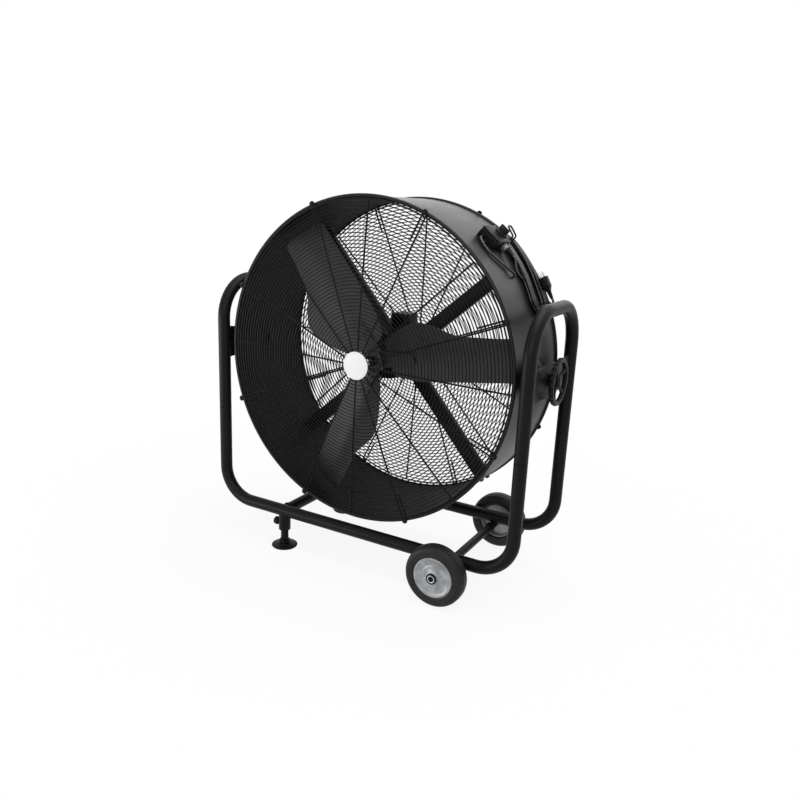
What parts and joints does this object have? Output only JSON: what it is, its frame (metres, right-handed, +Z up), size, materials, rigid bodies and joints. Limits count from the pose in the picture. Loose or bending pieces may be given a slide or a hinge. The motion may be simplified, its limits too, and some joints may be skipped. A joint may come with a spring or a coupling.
{
  "type": "drum fan",
  "caption": "Tilting drum fan: black steel drum with wire grilles, bladed rotor and motor, hung between tube arches on a base with wheels, levelling feet and a wound mains cord.",
  "frame": {"origin": "on the floor, under the middle of the drum, at the crossing of the fan's axis plane and the tilt axis plane", "axes": "+Z up; the fan blows towards -Y; +X towards the side with the wheels and the tilt handwheel; +Y points to the rear grille"},
  "size_m": [1.0936, 0.5346, 1.124],
  "materials": {
    "frame_paint": "semi-gloss black powder coat on tube",
    "drum_paint": "semi-gloss black powder coat on rolled sheet",
    "wire_paint": "black powder coat on wire",
    "blade_paint": "satin black paint on pressed sheet",
    "grey_steel": "satin grey steel",
    "zinc": "bright zinc plate",
    "tyre": "black rubber tread",
    "black_plastic": "matte black moulding",
    "nylon": "natural nylon",
    "badge": "plain white disc",
    "copper": "varnished winding",
    "cord": "black PVC sheath"
  },
  "bodies": {
    "frame": {"front_base_tube": "frame_paint", "rear_base_tube": "frame_paint", "left_arch_tube": "frame_paint", "right_arch_tube": "frame_paint", "foot_crossbar": "frame_paint", "wheel_axle": "frame_paint", "left_pivot_plate": "frame_paint", "right_pivot_plate": "frame_paint", "front_foot_socket": "frame_paint", "rear_foot_socket": "frame_paint", "front_axle_nut": "zinc", "rear_axle_nut": "zinc"},
    "front_wheel": {"front_tyre": "tyre", "front_rim": "grey_steel", "front_bush": "nylon"},
    "rear_wheel": {"rear_tyre": "tyre", "rear_rim": "grey_steel", "rear_bush": "nylon"},
    "front_foot": {"front_foot_stem": "grey_steel", "front_foot_pad": "black_plastic"},
    "rear_foot": {"rear_foot_stem": "grey_steel", "rear_foot_pad": "black_plastic"},
    "front_knob": {"front_foot_knob": "black_plastic"},
    "rear_knob": {"rear_foot_knob": "black_plastic"},
    "handwheel": {"tilt_handwheel": "black_plastic"},
    "drum": {"drum_shell": "drum_paint", "front_grille": "wire_paint", "rear_grille": "wire_paint", "badge_disc": "badge", "motor_housing": "frame_paint", "motor_end_cap": "frame_paint", "motor_stator": "copper", "front_bearing": "zinc", "rear_bearing": "zinc", "motor_band": "frame_paint", "motor_arm_1": "frame_paint", "motor_arm_2": "frame_paint", "motor_arm_3": "frame_paint", "motor_arm_4": "frame_paint", "capacitor_box": "frame_paint", "right_pivot_bolt": "zinc", "left_pivot_bolt": "zinc", "right_friction_disc": "black_plastic", "left_friction_disc": "black_plastic", "control_box": "black_plastic", "control_box_cover": "black_plastic", "cord_gland": "grey_steel", "cord_lead": "cord", "cord_hank": "cord", "cord_end": "cord", "motor_lead": "cord", "upper_cord_hook": "wire_paint", "lower_cord_hook": "wire_paint", "power_plug": "black_plastic"},
    "speed_switch": {"speed_knob": "black_plastic"},
    "fan": {"fan_shaft": "zinc", "fan_spider": "frame_paint", "fan_blade_1": "blade_paint", "fan_blade_2": "blade_paint", "fan_blade_3": "blade_paint"}
  },
  "joints": [
    {"name": "drum_tilt", "type": "hinge", "parent": "frame", "child": "drum", "pos_m": [0, 0, 0.644], "axis": [1, 0, 0], "range_deg": [-90, 90]},
    {"name": "fan_spin", "type": "hinge", "parent": "drum", "child": "fan", "pos_m": [0, 0, 0.644], "axis": [0, 1, 0], "continuous": true},
    {"name": "speed_select", "type": "hinge", "parent": "drum", "child": "speed_switch", "pos_m": [0.33178, 0.045, 1.04649], "axis": [0.6361, 0, 0.7716], "range_deg": [0, 135]},
    {"name": "handwheel_turn", "type": "hinge", "parent": "frame", "child": "handwheel", "pos_m": [0.53, 0, 0.644], "axis": [1, 0, 0], "range_deg": [0, 180]},
    {"name": "front_wheel_spin", "type": "hinge", "parent": "frame", "child": "front_wheel", "pos_m": [0.313, -0.233, 0.091], "axis": [0, 1, 0], "continuous": true},
    {"name": "rear_wheel_spin", "type": "hinge", "parent": "frame", "child": "rear_wheel", "pos_m": [0.313, 0.233, 0.091], "axis": [0, 1, 0], "continuous": true},
    {"name": "front_foot_level", "type": "slide", "parent": "frame", "child": "front_foot", "axis": [0, 0, -1], "range_m": [-0.015, 0.04]},
    {"name": "rear_foot_level", "type": "slide", "parent": "frame", "child": "rear_foot", "axis": [0, 0, -1], "range_m": [-0.015, 0.04]},
    {"name": "front_knob_turn", "type": "hinge", "parent": "frame", "child": "front_knob", "pos_m": [-0.295, -0.177, 0.08], "axis": [1, 0, 0], "range_deg": [0, 180]},
    {"name": "rear_knob_turn", "type": "hinge", "parent": "frame", "child": "rear_knob", "pos_m": [-0.295, 0.177, 0.08], "axis": [1, 0, 0], "range_deg": [0, 180]}
  ]
}
